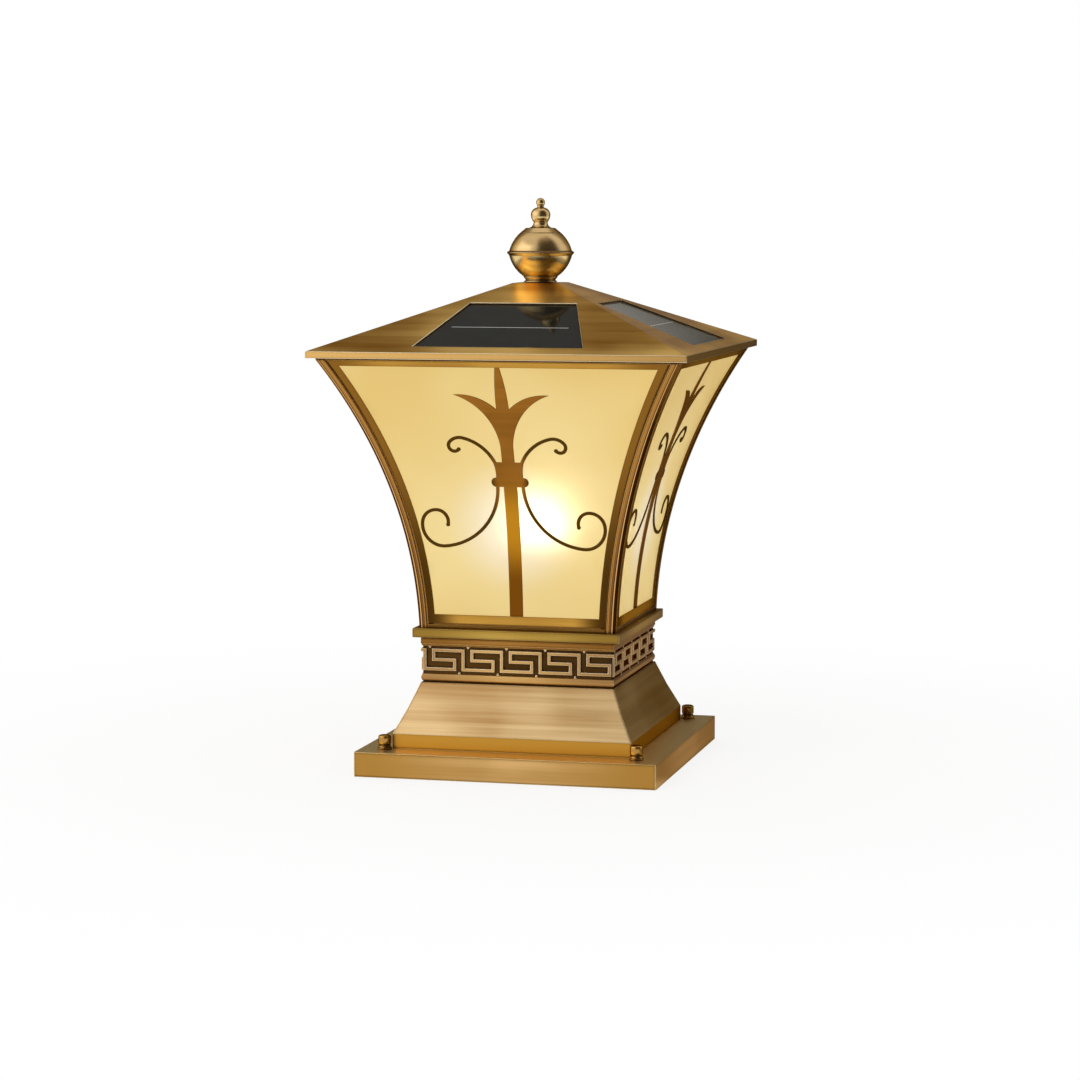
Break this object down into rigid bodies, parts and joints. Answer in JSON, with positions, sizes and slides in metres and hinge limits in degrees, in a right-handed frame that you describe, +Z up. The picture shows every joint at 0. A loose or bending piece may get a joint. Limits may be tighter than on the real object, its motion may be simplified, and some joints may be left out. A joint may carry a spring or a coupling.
{
  "type": "pillar light",
  "caption": "Square pillar light: flared lantern with frosted glass and scrollwork, a solar roof that lifts off, a ball finial and a stepped plinth with a key band.",
  "frame": {"origin": "centre of the face that rests on the pillar", "axes": "+Z up, -Y the front face, +X the right"},
  "size_m": [0.3, 0.3, 0.4536],
  "materials": {
    "antique_brass": "brushed antique brass, darkened in its grooves",
    "dark_bronze": "dark antique brass",
    "frosted_glass": "frosted, warm white",
    "bulb_globe": "frosted diffuser",
    "solar_cell": "glossy near-black solar cell under glass",
    "zinc_steel": "zinc plated",
    "seal_rubber": "matte",
    "cap_aluminium": "plain",
    "holder_ceramic": "glazed white",
    "white_plastic": "smooth",
    "cell_wrap": "shrink wrap",
    "board": "solder mask",
    "black_plastic": "fine texture"
  },
  "bodies": {
    "base": {"band_bead": "antique_brass", "band_fascia": "antique_brass", "base_tray": "antique_brass", "base_washers": "antique_brass", "battery_box": "black_plastic", "battery_cells": "cell_wrap", "battery_lid": "black_plastic", "bulb_body": "white_plastic", "bulb_cap": "cap_aluminium", "bulb_globe": "bulb_globe", "cable_grommet": "seal_rubber", "cap_nuts": "antique_brass", "collar_plate": "antique_brass", "control_board": "board", "control_box": "black_plastic", "control_lid": "black_plastic", "cross_bar": "zinc_steel", "deck_screws": "zinc_steel", "fixing_plate": "zinc_steel", "fixing_studs": "zinc_steel", "frame_back": "antique_brass", "frame_front": "antique_brass", "frame_left": "antique_brass", "frame_right": "antique_brass", "glass_back": "frosted_glass", "glass_clips": "zinc_steel", "glass_front": "frosted_glass", "glass_left": "frosted_glass", "glass_right": "frosted_glass", "key_band": "antique_brass", "key_relief": "antique_brass", "lamp_bracket": "zinc_steel", "lamp_holder": "holder_ceramic", "plinth_skirt": "antique_brass", "post_back_left": "antique_brass", "post_back_right": "antique_brass", "post_front_left": "antique_brass", "post_front_right": "antique_brass", "rod_nuts": "zinc_steel", "roof_rod": "zinc_steel", "scroll_back": "dark_bronze", "scroll_front": "dark_bronze", "scroll_left": "dark_bronze", "scroll_right": "dark_bronze", "service_deck": "zinc_steel", "sill_bars": "antique_brass", "switch_housing": "black_plastic", "top_ring": "zinc_steel"},
    "roof": {"solar_panel_back": "solar_cell", "solar_panel_front": "solar_cell", "solar_panel_left": "solar_cell", "solar_panel_right": "solar_cell", "roof_shell": "antique_brass", "roof_gasket": "seal_rubber", "finial_seal": "seal_rubber"},
    "finial": {"finial_neck": "antique_brass", "finial_ball_lower": "antique_brass", "finial_ball_upper": "antique_brass", "finial_tip": "antique_brass"},
    "button": {"switch_button": "black_plastic"}
  },
  "joints": [
    {"name": "roof_lift", "type": "slide", "parent": "base", "child": "roof", "axis": [0, 0, 1], "range_m": [0, 0.12]},
    {"name": "finial_turn", "type": "hinge", "parent": "roof", "child": "finial", "pos_m": [0, 0, 0.39], "axis": [0, 0, 1], "continuous": true},
    {"name": "switch_press", "type": "slide", "parent": "base", "child": "button", "axis": [0, 0, -1], "range_m": [0, 0.002], "stiffness_N_per_m": 400, "springref_m": -0.001}
  ]
}
